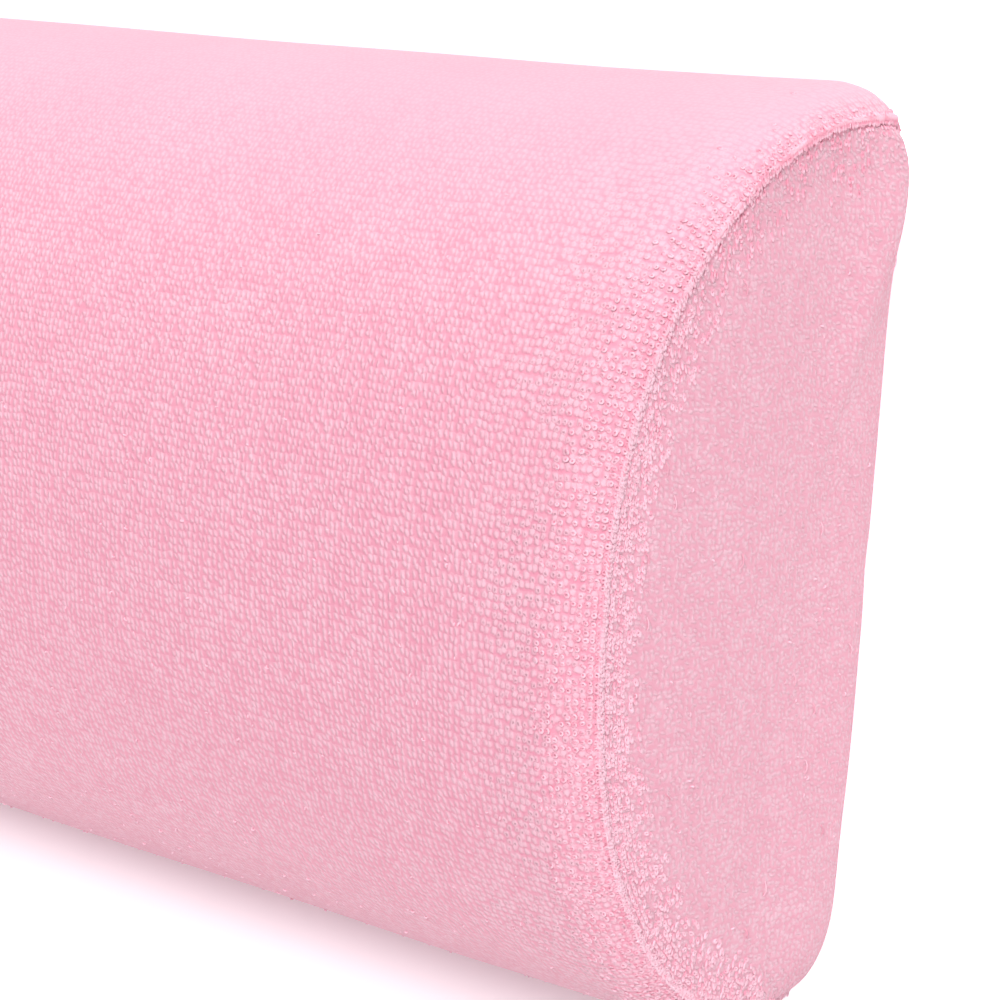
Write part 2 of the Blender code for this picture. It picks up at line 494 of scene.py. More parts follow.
class Finish:
    def __init__(self, name):
        self.material = bpy.data.materials.new(name)
        self.material.use_nodes = True
        self.tree = self.material.node_tree
        self.shader = self.tree.nodes["Principled BSDF"]

    # A node by its type, its settings, and the values or wires of its sockets, by name or number.
    def node(self, kind, settings, sockets):
        made = self.tree.nodes.new("ShaderNode" + kind)
        for key, value in settings.items():
            setattr(made, key, value)
        inputs = [slot for slot in made.inputs if slot.enabled]
        named = {slot.name: slot for slot in reversed(inputs)}
        for key, value in sockets.items():
            Wire.plug(inputs[key] if isinstance(key, int) else named[key], value)
        return {slot.name: Wire(slot) for slot in made.outputs if slot.enabled}

    def noise(self, place, size, detail=2.0):
        made = self.node("TexNoise", {}, {"Vector": place, "Scale": 1 / size, "Detail": detail})
        return made["Fac"]

    def split(self, vector):
        parts = self.node("SeparateXYZ", {}, {0: vector})
        return parts["X"], parts["Y"], parts["Z"]

    def join(self, x, y, z=0.0):
        return self.node("CombineXYZ", {}, {0: x, 1: y, 2: z})["Vector"]

    def ramp(self, value, low, high):
        settings = {"interpolation_type": "SMOOTHSTEP"}
        return self.node("MapRange", settings, {"Value": value, "From Min": low, "From Max": high})["Result"]

    def blend(self, share, first, second):
        kind = {"data_type": "RGBA"}
        return self.node("Mix", kind, {"Factor": share, "A": first, "B": second})["Result"]

    def set(self, **values):
        for name, value in values.items():
            Wire.plug(self.shader.inputs[name.replace("_", " ")], value)

    def bump(self, height, distance, strength=1.0):
        made = self.node("Bump", {}, {"Height": height, "Distance": distance, "Strength": strength})
        self.set(Normal=made["Normal"])


def colour(red, green, blue):
    return (red, green, blue, 1.0)


# The pile: what a loop looks like, in cells of one loop along the row and one row across.
pile = {
    # head and gap are the ends of each loop's painted light and shade, from a lit middle to the shade
    # between loops, and top is the lit top of a loose loop; gap and head are also the random deep and pale
    # tones of thread and yarn.
    "head": colour(0.97, 0.575, 0.685),
    "top": colour(0.98, 0.62, 0.73),
    "gap": colour(0.87, 0.35, 0.47),
    # deep is painted shade in the gaps between rows.
    "deep": colour(0.88, 0.27, 0.41),
    # hole is painted shade in the hole of a round loop.
    "hole": colour(0.50, 0.20, 0.27),
    "seam": colour(0.86, 0.25, 0.36),
    # painted shade for the end panels, which take less light than the wrap
    "endShade": colour(0.62, 0.45, 0.52),
    "roughness": 0.95,
    "sheen": 0.26,
    "sheenRoughness": 0.5,
    "specular": 0.15,
    "height": 0.13 * mm,
    "frizzScale": 2.2,
    "wave": 0.35,  # waves in the rows, as a share of the drift along them
    "waveSize": 0.7,
    "mottleSize": 2.6 * mm,
    "patchSize": 9 * mm,
    "wideSize": 26 * mm,
    "rowGapSize": 3.4 * mm,
    # rowShade sets the painted shade between rows:
    "rowShade": (0.1, 0.25),  # how deep the gaps between rows are, and how much deeper beside round loops
    # holeShade is how dark the painted shade in a loop's hole is.
    "holeShade": 0.7,
    "wideShade": 0.12,
    "seamShade": 0.5,
}

# One loop's form in shares of its cell. Pairs are where a fade starts and ends.
loopForm = {
    "strokeLong": 0.72,
    "strokeWide": 0.38,
    "strokeEdge": (0.0, 1.15),
    "headLong": 0.56,
    "headWide": 0.54,
    "headEdge": (0.36, 1.12),
    "holeAt": (-0.04, 0.06),
    "holeEdge": (0.03, 0.27),
    "holeChance": (0.15, 0.8),
    "rowGap": (0.3, 0.5),
}

# How much each thing counts in a loop's painted light and shade and in its tone: form paints it lighter in
# the middle and darker at the edges, slope paints one side lighter than the other, and chance and mottle are
# its own random tone.
loopLightAndTone = {"middle": 0.55, "form": 0.8, "slope": 0.35, "chance": 0.35, "mottle": 0.5}

wrapPile = {
    "turned": False,
    "pitch": 0.86 * mm,
    "rowPitch": 1.03 * mm,
    "drift": 3.4,
    "driftSize": 34 * mm,
    "disorder": 0.52,
    "frizz": 0.52,
    "lean": math.radians(28),
    "leanSpread": 0.8,
    "holes": 1.0,
    "roundWithin": (26 * mm, 8 * mm),  # the loops are round near the ends
    "roundPatches": (12 * mm, 34 * mm),  # size of the patches, and how far they move that
    "calm": 0.18,
    "calmSide": (0.26, 0.44),  # shares of the way round between which the smooth pile gives way to loops
    "rimRelief": 0.7,
    "endShadeShare": 0.0,
}

panelPile = {
    "turned": True,
    "pitch": 1.0 * mm,
    "rowPitch": 0.88 * mm,
    "drift": 2.0,
    "driftSize": 20 * mm,
    "disorder": 0.75,
    "frizz": 0.6,
    "lean": math.radians(48),
    "leanSpread": 1.5,
    "holes": 0.25,
    "roundWithin": None,
    "calm": 1.0,
    "rimRelief": 1.5,
    # the end panels' pile is greyed and darkened by this share: painted shade for the end faces
    "endShadeShare": 0.2,
}


def terryFinish(name, weave):
    finish = Finish(name)
    cloth = finish.node("UVMap", {"uv_map": "cloth"}, {})["UV"]
    along, around, _ = finish.split(cloth)
    if weave["turned"]:
        along, around = around, along
    drift = finish.noise(cloth, weave["driftSize"], 1.0) - 0.5
    wave = finish.noise(finish.join(around, along), weave["driftSize"] * pile["waveSize"], 1.0) - 0.5
    grid = finish.join(along / weave["pitch"] + drift * weave["drift"],
                       around / weave["rowPitch"] + wave * (weave["drift"] * pile["wave"]))
    curls = {"Vector": grid, "Scale": pile["frizzScale"], "Detail": 2.0}
    frizz = finish.node("TexNoise", {}, curls)["Color"]
    frizz = finish.node("VectorMath", {"operation": "SUBTRACT"}, {0: frizz, 1: (0.5, 0.5, 0.5)})["Vector"]
    frizz = finish.node("VectorMath", {"operation": "SCALE"}, {0: frizz, "Scale": weave["frizz"]})["Vector"]
    grid = finish.node("VectorMath", {"operation": "ADD"}, {0: grid, 1: frizz})["Vector"]
    cell = finish.node("TexVoronoi", {"voronoi_dimensions": "2D"},
                       {"Vector": grid, "Scale": 1.0, "Randomness": weave["disorder"]})
    local = finish.node("VectorMath", {"operation": "SUBTRACT"}, {0: grid, 1: cell["Position"]})["Vector"]
    x, y, _ = finish.split(local)
    luck = finish.node("SeparateColor", {}, {0: cell["Color"]})
    seam = finish.node("Attribute", {"attribute_name": "seam"}, {})["Fac"]
    rim = finish.ramp(seam, 0.15, 0.7)
    roundness = finish.ramp(finish.noise(cloth, pile["patchSize"], 2.0), 0.5, 0.7) * 0.5
    relief = weave["calm"] + (weave["rimRelief"] - weave["calm"]) * rim
    if weave["roundWithin"]:
        far, near = weave["roundWithin"]
        end = rest["length"] / 2
        patchSize, reach = weave["roundPatches"]
        patchy = (finish.noise(cloth, patchSize, 3.0) - 0.5) * reach
        roundness = finish.ramp(abs(along) + patchy, end - far, end - near)
        calm, loopy = weave["calmSide"]
        under = finish.ramp(around, girth * calm, girth * loopy)
        relief = weave["calm"] + (1 - weave["calm"]) * (under + (1 - under) * rim * weave["rimRelief"])
    angle = weave["lean"] + (luck["Red"] - 0.5) * weave["leanSpread"]
    sine = Wire.maths("SINE", angle)
    cosine = Wire.maths("COSINE", angle)
    long = (x * sine + y * cosine) / loopForm["strokeLong"]
    cross = (x * cosine - y * sine) / loopForm["strokeWide"]
    stroke = 1 - finish.ramp((long * long + cross * cross) ** 0.5, *loopForm["strokeEdge"])
    outer = ((x / loopForm["headLong"]) ** 2.0 + (y / loopForm["headWide"]) ** 2.0) ** 0.5
    head = 1 - finish.ramp(outer, *loopForm["headEdge"])
    shape = stroke + (head - stroke) * roundness
    holeX, holeY = loopForm["holeAt"]
    inner = ((x - holeX) ** 2.0 + (y - holeY) ** 2.0) ** 0.5
    hole = 1 - finish.ramp(inner, *loopForm["holeEdge"])
    hole = hole * finish.ramp(luck["Green"], *loopForm["holeChance"]) * weave["holes"] * roundness
    mottle = finish.noise(cloth, pile["mottleSize"], 5.0)
    mottle = mottle + finish.noise(cloth, pile["patchSize"], 2.0) * 0.5 - 0.75
    # Painted light and shade over each loop: lighter in its middle and on one side, darker at its edges and
    # on the other, with its random tone added.
    light = (shape - 0.5) * loopLightAndTone["form"] - y * loopLightAndTone["slope"]
    light = light + (luck["Blue"] - 0.5) * loopLightAndTone["chance"] + mottle * loopLightAndTone["mottle"]
    light = loopLightAndTone["middle"] + light * relief
    wide = finish.noise(cloth, pile["wideSize"], 2.0)
    broken = finish.noise(cloth, pile["rowGapSize"], 2.0)
    rows = finish.ramp(abs(y), *loopForm["rowGap"]) * finish.ramp(broken, 0.4, 0.65)
    face = finish.blend(finish.ramp(light, -0.1, 1.1), pile["gap"], pile["head"])
    shade, deeper = pile["rowShade"]
    # Painted shade in the gaps between rows, deeper where the loops are round.
    face = finish.blend(rows * relief * (shade + deeper * roundness), face, pile["deep"])
    # Painted shade in the holes of round loops.
    face = finish.blend(hole * relief * pile["holeShade"], face, pile["hole"])
    face = finish.blend(finish.ramp(wide, 0.3, 0.75) * pile["wideShade"], face, pile["gap"])
    face = finish.blend(finish.ramp(seam, 0.88, 1.0) * pile["seamShade"], face, pile["seam"])
    # Painted shade on the end panels: their copy of the pile is greyed and darker.
    face = finish.blend(weave["endShadeShare"], face, pile["endShade"])
    finish.set(Base_Color=face, Roughness=pile["roughness"], Sheen_Weight=pile["sheen"],
               Sheen_Roughness=pile["sheenRoughness"], Specular_IOR_Level=pile["specular"])
    finish.bump((shape - hole * 0.8) * relief, pile["height"])
    return finish.material


# The loops that stand clear of the cloth are real rings of yarn, with painted shade that makes them darker
# at the root.
loops = {
    "ringSteps": 7,
    "yarnSteps": 4,
    "stands": 0.75,  # height of a ring's middle over its spot, as a share of its upright radius
    "calmTo": 0.28,  # share of the way round, on the side where the pile is combed smooth
    "calmFade": 0.14,
    "jitter": 0.16,
    "pressed": 0.1 * mm,  # loops that would reach below this height are pressed flat under the base
    "flatTo": 0.1,
    # The loops' painted shade, darker at the root:
    "shadeFrom": 1.6,  # the shade grows upwards, from this many radii under the ring's middle
    "shadeOver": 2.9,
    "shadeSpread": 0.25,
    "fuzzSize": 0.5 * mm,
    "fuzz": 0.3,
    "fuzzHeight": 0.05 * mm,
    "aheadBy": 0.4 * mm,  # distance over which a row's direction is taken
}

# The loops on the wrap's ends, which lie back towards the seam. Pairs are the least and the most.
endPile = {
    "yarn": 0.62,  # the yarn's radius, as a share of the ring's
    "size": 0.25 * mm,
    "sizes": (0.82, 1.08),
    "tall": 1.1,
    "talls": (0.85, 1.15),
    "rows": 10,
    "seamward": 0.6 * mm,  # from the first row to where the turned-in lip begins
    "above": 0.3 * mm,  # how far off the cloth the spots are looked for
    "thinning": 0.08,  # share of the loops that each further row loses
    "fewest": (0.95, 0.7, 0.25, 0.04),  # share of them where the pile is smooth, by row
    "firstLying": 0.75,
    "lying": 0.88,
    "riseSpread": 0.16,
    "tilt": (0.1, 0.25),  # mean and spread along the row
    "turn": 0.35,
    "back": 0.7,
}

# The loops on the panels' rims and on the seam's thread, combed down and away from the seam.
rimPile = {
    "yarn": 0.8,
    "size": 0.19 * mm,
    "sizes": (0.8, 1.15),
    "tall": 1.75,
    "talls": (0.8, 1.2),
    "rows": 13,
    "rowStep": 0.72 * mm,
    "pitch": 0.72 * mm,
    "seamPitch": 0.60 * mm,
    "above": 0.3 * mm,  # how far off the panel's rounded edge the spots are looked for, along X
    "outwards": 0.2 * mm,  # and across it
    "thinning": 0.075,
    "fewest": (0.9, 0.6, 0.4, 0.25),
    "inwards": 0.55,
    "down": -0.85,
    "spread": 0.22,
    "turn": 0.3,
    "firstRaised": 0.3,
    "raised": 0.1,
    "threadRaised": 0.2,
    # Offsets to the rim loops' painted shade:
    "calmTone": -0.4,  # how much deeper the loops are where the pile is smooth
    "paleTone": 0.12,  # and how much paler elsewhere
}

# The thread in the groove of each end seam, and the stitches of the closing seam.
thread = {
    "radius": 0.42 * mm,
    "lumps": (0.75, 1.15),
    "ringSteps": 520,
    "yarnSteps": 8,
    "deep": 0.08 * mm,
    "towardsWrap": 0.24 * mm,
    "grainSize": 0.3 * mm,
    "grainHeight": 0.04 * mm,
    "paleSize": 1.5 * mm,
    "bareSize": 4 * mm,
    "bare": 0.7,
}
stitches = {
    "pitch": 3.5 * mm,
    "slant": 0.35,
    "size": 0.2 * mm,
    "tall": 3.0,
    "back": 0.44 * mm,
    "sunk": 0.1 * mm,
}

# Single loops that stand out of the pile, and ends of yarn pulled out of the panels.
stray = {
    "onWrap": 1100,
    "wrapShares": (0.3, 0.7, 0.84),  # shares of the way round: the first, the likeliest and the last
    "offWrap": 1.5 * mm,
    "onPanel": 90,
    "offPanel": 4 * mm,
    "fromEdge": 3 * mm,
    "fullness": 0.85,  # 1 spreads them from the edge to the middle, and less leaves the edge free
    "lean": 0.6,
    "size": 0.2 * mm,
    "sizes": (0.7, 1.1),
    "tall": 1.1,
    "talls": (0.8, 1.2),
}
pulled = {
    "onPanel": 30,
    "yarn": 0.055,
    "ringSteps": 14,
    "yarnSteps": 3,
    "size": 1.3 * mm,
    "sizes": (0.6, 1.2),
    "sunk": 1.5,  # in radii of the ring
    "comb": (0.0, -1.0, -0.35),
    "combSpread": 0.3,
    "toneSize": 6 * mm,
}


def loopFinish():
    finish = Finish("terryLoop")
    shade = finish.node("Attribute", {"attribute_name": "shade"}, {})["Fac"]
    place = finish.node("TexCoord", {}, {})["Object"]
    fuzz = finish.noise(place, loops["fuzzSize"], 2.0) - 0.5
    # Painted shade from the shade attribute: darker at the root and paler at the top, with a fuzz of random
    # tone.
    face = finish.blend(finish.ramp(shade + fuzz * loops["fuzz"], -0.1, 0.9), pile["gap"], pile["top"])
    finish.set(Base_Color=face, Roughness=pile["roughness"], Sheen_Weight=pile["sheen"],
               Sheen_Roughness=pile["sheenRoughness"], Specular_IOR_Level=pile["specular"])
    finish.bump(fuzz, loops["fuzzHeight"])
    return finish.material


def loopShape(yarn, ringSteps, yarnSteps):
    clearSelection()
    bpy.ops.mesh.primitive_torus_add(major_segments=ringSteps, minor_segments=yarnSteps,
                                     major_radius=1, minor_radius=yarn)
    shape = bpy.context.active_object
    places = placesOf(shape)
    faces = np.array([list(face.vertices) for face in shape.data.polygons])
    bpy.data.objects.remove(shape, do_unlink=True)
    return places, faces


openLoop = loopShape(endPile["yarn"], loops["ringSteps"], loops["yarnSteps"])
tightLoop = loopShape(rimPile["yarn"], loops["ringSteps"], loops["yarnSteps"])
pulledYarn = loopShape(pulled["yarn"], pulled["ringSteps"], pulled["yarnSteps"])


# One mesh of many rings. Each stands at its spot, its height leaning out of the cloth and its width turned.
def growLoops(name, shape, cloth, spots, ups, sides, sizes, talls, tones):
    ringPlaces, ringFaces = shape
    ups = ups / np.linalg.norm(ups, axis=1, keepdims=True)
    sides = sides - ups * np.sum(ups * sides, axis=1, keepdims=True)
    sides = sides / np.linalg.norm(sides, axis=1, keepdims=True)
    axes = np.cross(sides, ups)
    count = len(spots)
    ring = ringPlaces[None] * sizes[:, None, None]
    rise = (ringPlaces[None, :, 1] * talls[:, None] + talls[:, None] * loops["stands"]) * sizes[:, None]
    places = (spots[:, None] + sides[:, None] * ring[..., 0:1] + ups[:, None] * rise[..., None]
              + axes[:, None] * ring[..., 2:3])
    under = np.minimum(places[..., 2] - loops["pressed"], 0)
    places[..., 2] += under * (loops["flatTo"] - 1)
    faces = (ringFaces[None] + (np.arange(count) * len(ringPlaces))[:, None, None]).reshape(-1, 4)
    mesh = bpy.data.meshes.new(name)
    mesh.vertices.add(count * len(ringPlaces))
    mesh.vertices.foreach_set("co", places.astype(np.float32).ravel())
    mesh.loops.add(faces.size)
    mesh.loops.foreach_set("vertex_index", faces.ravel().astype(np.int32))
    mesh.polygons.add(len(faces))
    mesh.polygons.foreach_set("loop_start", np.arange(0, faces.size, 4, dtype=np.int32))
    mesh.update(calc_edges=True)
    mesh.validate()
    # Painted shade: each ring is darker at its root and paler at its top, with a random tone per ring and
    # the tone given for its row.
    shade = (ringPlaces[None, :, 1] + loops["shadeFrom"]) / loops["shadeOver"]
    shade = shade + chance.uniform(-loops["shadeSpread"], loops["shadeSpread"], (count, 1)) + tones[:, None]
    mark = mesh.attributes.new("shade", "FLOAT", "POINT")
    mark.data.foreach_set("value", shade.astype(np.float32).ravel())
    mesh.shade_smooth()
    piece = bpy.data.objects.new(name, mesh)
    scene.collection.objects.link(piece)
    mesh.materials.append(cloth)
    turnOutwards(piece)
    print(name, count, "loops,", len(faces) * 2, "triangles")
    return piece


# The places on a piece of cloth that are nearest to the guesses, and the normals there.
def onCloth(piece, guesses):
    found = [piece.closest_point_on_mesh(Vector(guess)) for guess in guesses]
    return np.array([hit[1] for hit in found]), np.array([hit[2] for hit in found])


chance = np.random.default_rng(11)
loopCloth = loopFinish()


# A row of starting places all round an end, with the direction along the row.
def rowRound(x, inset, side, sign, pitch, thinning=0.0, fewest=0.0):
    count = int(girth / pitch)
    share = (np.arange(count) + chance.uniform(-loops["jitter"], loops["jitter"], count)) / count % 1.0
    kept = np.clip((share - loops["calmTo"]) / loops["calmFade"], fewest, 1) * (1 - thinning)
    share = share[chance.uniform(size=count) < kept]
    step = loops["aheadBy"] / girth
    x = np.full(len(share), x)
    inset = np.full(len(share), inset)
    places = onSection(x, inset, share, sign)
    ahead = onSection(x, inset, np.clip(share + step, 0, 1), sign)
    ahead -= onSection(x, inset, np.clip(share - step, 0, 1), sign)
    places[:, 0] += wanderAt(side, share)
    places[:, 0] *= sign
    return places, ahead, share


def rowsOfLoops(name, shape, rows):
    parts = [np.concatenate(part) for part in zip(*rows)]
    return growLoops(name, shape, loopCloth, *parts)


# One row on the wrap's end: the loops lie back towards the seam, and the nearest stand up more.
def lyingRow(places, ahead, share, sign, lying):
    spots, normals = onCloth(wrap, places)
    along = ahead / np.linalg.norm(ahead, axis=1, keepdims=True)
    across = np.cross(normals, along)
    across *= np.where(across[:, :1] * sign < 0, -1, 1)
    count = len(spots)
    ups = normals * (1 - lying) + across * lying
    ups += chance.normal(0, endPile["riseSpread"], (count, 1)) * normals
    ups += chance.normal(*endPile["tilt"], (count, 1)) * along
    turn = chance.normal(0, endPile["turn"], (count, 1))
    sides = along * np.cos(turn) + np.cross(ups, along) * np.sin(turn)
    sizes = endPile["size"] * chance.uniform(*endPile["sizes"], count)
    spots = spots - across * (endPile["back"] * lying * sizes[:, None])
    talls = endPile["tall"] * chance.uniform(*endPile["talls"], count)
    return spots, ups, sides, sizes, talls, np.zeros(count)


def endLoops(name, side, sign):
    run = runAlong(endX, endInset)
    last = run[-1] - wrapCut["lip"] - endPile["seamward"]
    rows = []
    for row in range(endPile["rows"]):
        at = last - row * wrapPile["pitch"]
        if at > 0:
            x = rollStart + np.interp(at, run, endX)
            inset = np.interp(at, run, endInset)
        else:
            x, inset = rollStart + at, 0.0
        thinning = endPile["thinning"] * row
        fewest = endPile["fewest"][min(row, 3)]
        spots = rowRound(x, inset - endPile["above"], side, sign, wrapPile["rowPitch"], thinning, fewest)
        rows.append(lyingRow(*spots, sign, endPile["lying"] if row else endPile["firstLying"]))
    return rowsOfLoops(name, openLoop, rows)


# One row on a panel's rim, or on the seam's thread: long loops combed down and away from the seam.
def combedRow(panel, places, ahead, share, raised):
    count = len(places)
    if panel:
        spots, normals = onCloth(panel, places)
    else:
        spots, normals = places, np.sign(places) * [1, 0, 0]
    middle = np.array([spots[:, 0].mean(), 0.0, rest["height"] * panelCut["middle"]])
    inward = middle - spots
    inward /= np.linalg.norm(inward, axis=1, keepdims=True)
    comb = inward * rimPile["inwards"] + chance.normal(0, rimPile["spread"], (count, 3))
    comb += np.array([0.0, rimPile["down"], 0.0])
    comb -= normals * np.sum(comb * normals, axis=1, keepdims=True)
    comb /= np.linalg.norm(comb, axis=1, keepdims=True)
    ups = comb + normals * raised
    sides = np.cross(ups, normals) + normals * chance.normal(0, rimPile["turn"], (count, 1))
    sizes = rimPile["size"] * chance.uniform(*rimPile["sizes"], count)
    spots = spots - comb * sizes[:, None]
    calm = 1 - np.clip((share - loops["calmTo"]) / loops["calmFade"], 0, 1)
    # Painted shade: the loops are darker where the pile is smooth and paler elsewhere.
    tones = rimPile["calmTone"] * calm + rimPile["paleTone"] * (1 - calm)
    return spots, ups, sides, sizes, rimPile["tall"] * chance.uniform(*rimPile["talls"], count), tones


def rimLoops(name, side, sign, panel):
    edge = panelCut["edgeRadius"]
    rows = []
    for inset, fewest in ((panelInset - thread["towardsWrap"] * 1.8, 0.0), (panelInset, 1.0)):
        x = faceX - thread["deep"] + thread["radius"] * 0.6
        spots = rowRound(x, inset, side, sign, rimPile["seamPitch"], 0.0, fewest)
        rows.append(combedRow(None, *spots, rimPile["threadRaised"]))
    for row in range(rimPile["rows"]):
        deep = row * rimPile["rowStep"]
        angle = min(deep / edge, math.pi / 2)
        x = faceX - edge + (edge + rimPile["above"]) * math.sin(angle)
        inset = panelInset + edge - (edge + rimPile["outwards"]) * math.cos(angle)
        inset += max(0.0, deep - edge * math.pi / 2)
        fewest = rimPile["fewest"][min(row, 3)]
        spots = rowRound(x, inset, side, sign, rimPile["pitch"], rimPile["thinning"] * row, fewest)
        rows.append(combedRow(panel, *spots, rimPile["raised"] if row else rimPile["firstRaised"]))
    return rowsOfLoops(name, tightLoop, rows)


# The thread of an end seam: a ring of it, laid in the groove between the wrap and the panel.
def seamThread(name, side, sign):
    clearSelection()
    bpy.ops.mesh.primitive_torus_add(major_segments=thread["ringSteps"], minor_segments=thread["yarnSteps"],
                                     major_radius=1, minor_radius=0.5)
    ring = bpy.context.active_object
    ring.name = name
    raw = placesOf(ring)
    share = (np.arctan2(raw[:, 1], raw[:, 0]) / (2 * math.pi)) % 1.0
    lumps = chance.uniform(*thread["lumps"], thread["ringSteps"])
    thick = thread["radius"] * lumps[np.rint(share * len(lumps)).astype(int) % len(lumps)]
    x = faceX - thread["deep"] + raw[:, 2] * 2 * thick
    inset = panelInset - thread["towardsWrap"] + (np.hypot(raw[:, 0], raw[:, 1]) - 1) * -2 * thick
    places = onSection(x, inset, share, sign)
    places[:, 0] += wanderAt(side, share)
    places[:, 0] *= sign
    movePoints(ring, places)
    turnOutwards(ring)
    ring.data.shade_smooth()
    ring.data.materials.append(threadCloth)
    return ring


# The closing seam under the base: a stitch across the slit every few millimetres.
def closingStitches():
    x = np.arange(-rollStart, rollStart, stitches["pitch"])
    count = len(x)
    spots, normals = onCloth(wrap, np.column_stack([x, np.zeros(count), np.zeros(count)]))
    spots[:, 1] = 0
    ups = np.tile([stitches["slant"], 1.0, 0.0], (count, 1))
    sides = np.tile([1.0, 0.0, 0.0], (count, 1))
    spots = spots - ups * stitches["back"] + [0, 0, stitches["sunk"]]
    sizes = np.full(count, stitches["size"])
    talls = np.full(count, stitches["tall"])
    tones = np.zeros(count)
    return growLoops("closingStitches", openLoop, threadCloth, spots, ups, sides, sizes, talls, tones)


def threadFinish():
    finish = Finish("sewingThread")
    place = finish.node("TexCoord", {}, {})["Object"]
    grain = finish.noise(place, thread["grainSize"], 2.0)
    bare = finish.ramp(finish.noise(place, thread["bareSize"], 2.0), 0.5, 0.7) * thread["bare"]
    pale = finish.ramp(grain + finish.noise(place, thread["paleSize"], 1.0), 0.4, 1.2)
    face = finish.blend(bare, finish.blend(pale, pile["gap"], pile["head"]), pile["seam"])
    finish.set(Base_Color=face, Roughness=0.8)
    finish.bump(grain, thread["grainHeight"])
    return finish.material


def pulledLook():
    finish = Finish("pulledYarn")
    place = finish.node("TexCoord", {}, {})["Object"]
    grain = finish.noise(place, pulled["toneSize"], 2.0)
    face = finish.blend(finish.ramp(grain, 0.35, 0.6), pile["gap"], pile["top"])
    finish.set(Base_Color=face, Roughness=0.9)
    return finish.material


threadCloth = threadFinish()
pulledFinish = pulledLook()

wrap.data.materials.append(terryFinish("terryWrapCloth", wrapPile))
panelCloth = terryFinish("terryPanelCloth", panelPile)
for panel in panels:
    panel.data.materials.append(panelCloth)
seamPiles = [
    endLoops("endLoopsRight", "right", 1),
    endLoops("endLoopsLeft", "left", -1),
    rimLoops("rimLoopsRight", "right", 1, panels[0]),
    rimLoops("rimLoopsLeft", "left", -1, panels[1]),
    seamThread("seamThreadRight", "right", 1),
    seamThread("seamThreadLeft", "left", -1),
    closingStitches(),
]


def strayLoops(name, piece, guesses):
    spots, normals = onCloth(piece, guesses)
    count = len(spots)
    ups = normals + chance.normal(0, stray["lean"], (count, 3))
    sides = chance.normal(0, 1, (count, 3))
    spots = spots - normals * stray["size"]
    sizes = stray["size"] * chance.uniform(*stray["sizes"], count)
    talls = stray["tall"] * chance.uniform(*stray["talls"], count)
    return growLoops(name, openLoop, loopCloth, spots, ups, sides, sizes, talls, np.zeros(count))


# Pulled yarn shows as thin arcs: each is a ring that is mostly inside the cloth.
def pulledThreads(name, piece, guesses):
    spots, normals = onCloth(piece, guesses)
    count = len(spots)
    sizes = pulled["size"] * chance.uniform(*pulled["sizes"], (count, 1))
    comb = np.array(pulled["comb"]) + chance.normal(0, pulled["combSpread"], (count, 3))
    spots = spots - normals * sizes * pulled["sunk"]
    return growLoops(name, pulledYarn, pulledFinish, spots, normals, comb, sizes[:, 0], np.ones(count),
                     np.zeros(count))


def onPanelFace(count, sign):
    share = chance.uniform(0, 1, count)
    inward = 1 - np.sqrt(chance.uniform(0, stray["fullness"], count))
    x = faceX + stray["offPanel"]
    guesses = onSection(np.full(count, x), np.full(count, panelInset + stray["fromEdge"]), share)
    middle = np.array([x, 0.0, rest["height"] * panelCut["middle"]])
    guesses += (middle - guesses) * inward[:, None]
    guesses[:, 0] *= sign
    return guesses


def strayPieces():
    share = chance.triangular(*stray["wrapShares"], stray["onWrap"])
    x = chance.uniform(-rollStart, rollStart, stray["onWrap"])
    guesses = onSection(x, np.full(len(x), -stray["offWrap"]), share)
    pieces = [strayLoops("wrapLoops", wrap, guesses)]
    for side, panel, sign in (("Right", panels[0], 1), ("Left", panels[1], -1)):
        guesses = onPanelFace(stray["onPanel"], sign)
        pieces.append(strayLoops("panelLoops" + side, panel, guesses))
        pieces.append(pulledThreads("pulledYarn" + side, panel, onPanelFace(pulled["onPanel"], sign)))
    return pieces


strays = strayPieces()

# The foam inside keeps its own shape and gets its pores, with painted shade in their hollows.
foamLook = {
    "pore": 1.2 * mm,
    "poreDepth": 0.4 * mm,
    "grain": 0.6 * mm,
    "wall": colour(0.88, 0.85, 0.74),
    # hollow is painted shade in the pores.
    "hollow": colour(0.62, 0.58, 0.47),
}


def foamFinish():
    finish = Finish("openCellFoam")
    place = finish.node("TexCoord", {}, {})["Object"]
    pores = finish.node("TexVoronoi", {}, {"Vector": place, "Scale": 1 / foamLook["pore"]})["Distance"]
    grain = finish.noise(place, foamLook["grain"], 3.0)
    # Painted shade: darker in the pores' hollows, with a random grain.
    light = finish.ramp(pores + (grain - 0.5) * 0.3, 0.1, 0.7)
    face = finish.blend(light, foamLook["hollow"], foamLook["wall"])
    finish.set(Base_Color=face, Roughness=0.9, Specular_IOR_Level=0.25)
    finish.bump(pores, foamLook["poreDepth"])
    return finish.material


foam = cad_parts["foam_core"]
foam.data.materials.clear()
foam.data.materials.append(foamFinish())

floorLook = {
    "size": 8.0,
    "below": 0.05 * mm,
    # seen lifts the floor to white where it is lit; its pink tint is painted bounce light from the cushion,
    # showing in the shadow.
    "seen": (1.20, 1.06, 1.12),
    # painted light past the right end, where the floor is made so bright that the cushion's shadow is lost
    # in white
    "paintedLightPastEnd": (3.0, 3.0, 3.0),  # beyond the right end the shadow is lost in white
    "whitens": (16 * mm, 5 * mm),  # where that starts and is full, before the end
    "bounce": 0.85,
}


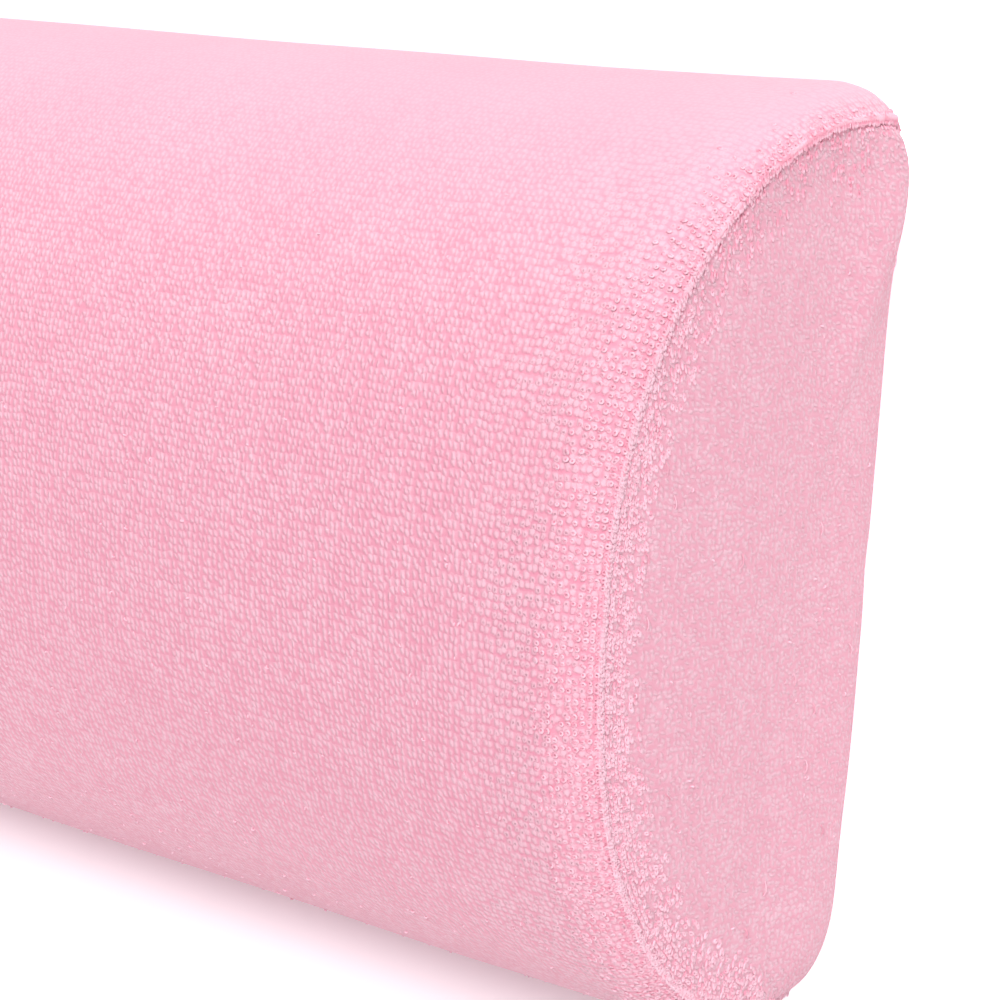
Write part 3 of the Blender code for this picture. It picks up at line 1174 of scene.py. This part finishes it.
# A white sweep: brighter for the camera and in reflections than in the light that it throws back.
def layFloor():
    clearSelection()
    bpy.ops.mesh.primitive_plane_add(size=floorLook["size"], location=(0, 0, -floorLook["below"]))
    floor = bpy.context.active_object
    floor.name = "floor"
    finish = Finish("paleFloor")
    rays = finish.node("LightPath", {}, {})
    seen = 1 - (1 - rays["Is Camera Ray"]) * (1 - rays["Is Glossy Ray"]) * (1 - rays["Is Transmission Ray"])
    bounce = floorLook["bounce"]
    x, _, _ = finish.split(finish.node("TexCoord", {}, {})["Object"])
    # Painted light: the floor brightens towards the right end and past it, wiping out the shadow there.
    end = rest["length"] / 2
    start, full = floorLook["whitens"]
    past = finish.ramp(x, end - start, end - full)
    tint = finish.blend(past, colour(*floorLook["seen"]), colour(*floorLook["paintedLightPastEnd"]))
    tint = finish.blend(seen, colour(bounce, bounce, bounce), tint)
    white = finish.node("BsdfDiffuse", {}, {"Color": tint})["BSDF"]
    Wire.plug(finish.tree.nodes["Material Output"].inputs["Surface"], white)
    finish.tree.nodes.remove(finish.shader)
    floor.data.materials.append(finish.material)


# Sun lamps by the side they shine from, at the level that each gives a surface facing it.
lamps = {
    "key": {"from": (0.30, 0.46, 0.79), "level": 0.69, "softness": 13},
    "topFill": {"from": (0.18, 0.98, 0.10), "level": 0.38, "softness": 50},
    "lowFill": {"from": (0.30, -0.95, 0.10), "level": 0.61, "softness": 50},
}
sky = 0.35


def hangLamps():
    for name, lamp in lamps.items():
        clearSelection()
        bpy.ops.object.light_add(type="SUN")
        sun = bpy.context.active_object
        sun.name = name
        sun.rotation_euler = Vector(lamp["from"]).to_track_quat("Z", "Y").to_euler()
        sun.data.energy = lamp["level"] * math.pi
        sun.data.angle = math.radians(lamp["softness"])
    world = bpy.data.worlds.new("studio")
    scene.world = world
    world.use_nodes = True
    tree = world.node_tree
    air = tree.nodes["Background"]
    rays = tree.nodes.new("ShaderNodeLightPath")
    seen = Wire(rays.outputs["Is Camera Ray"])
    for kind in ("Is Transmission Ray", "Is Glossy Ray"):
        seen = Wire.maths("MAXIMUM", seen, Wire(rays.outputs[kind]))
    Wire.plug(air.inputs["Strength"], sky + seen * (1 - sky))
    air.inputs["Color"].default_value = colour(1, 1, 1)


eye = {
    "at": (0.3045, 0.0638, 0.3077),
    "turned": (-6.70796, 36.24326, 5.43811),
    "lens": 92.4,
    "sensor": 36,
    "nearest": 0.01,
}


def placeCamera():
    clearSelection()
    bpy.ops.object.camera_add(location=eye["at"])
    camera = bpy.context.active_object
    camera.name = "photoView"
    camera.rotation_euler = Euler([math.radians(angle) for angle in eye["turned"]], "XYZ")
    camera.data.lens = eye["lens"]
    camera.data.sensor_width = eye["sensor"]
    camera.data.clip_start = eye["nearest"]
    scene.camera = camera


layFloor()
hangLamps()
placeCamera()
scene.view_settings.view_transform = "Standard"

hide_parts("cover_wrap")
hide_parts("end_panel_right")
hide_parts("end_panel_left")
for piece in [wrap] + panels + seamPiles + strays:
    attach(piece, "root")
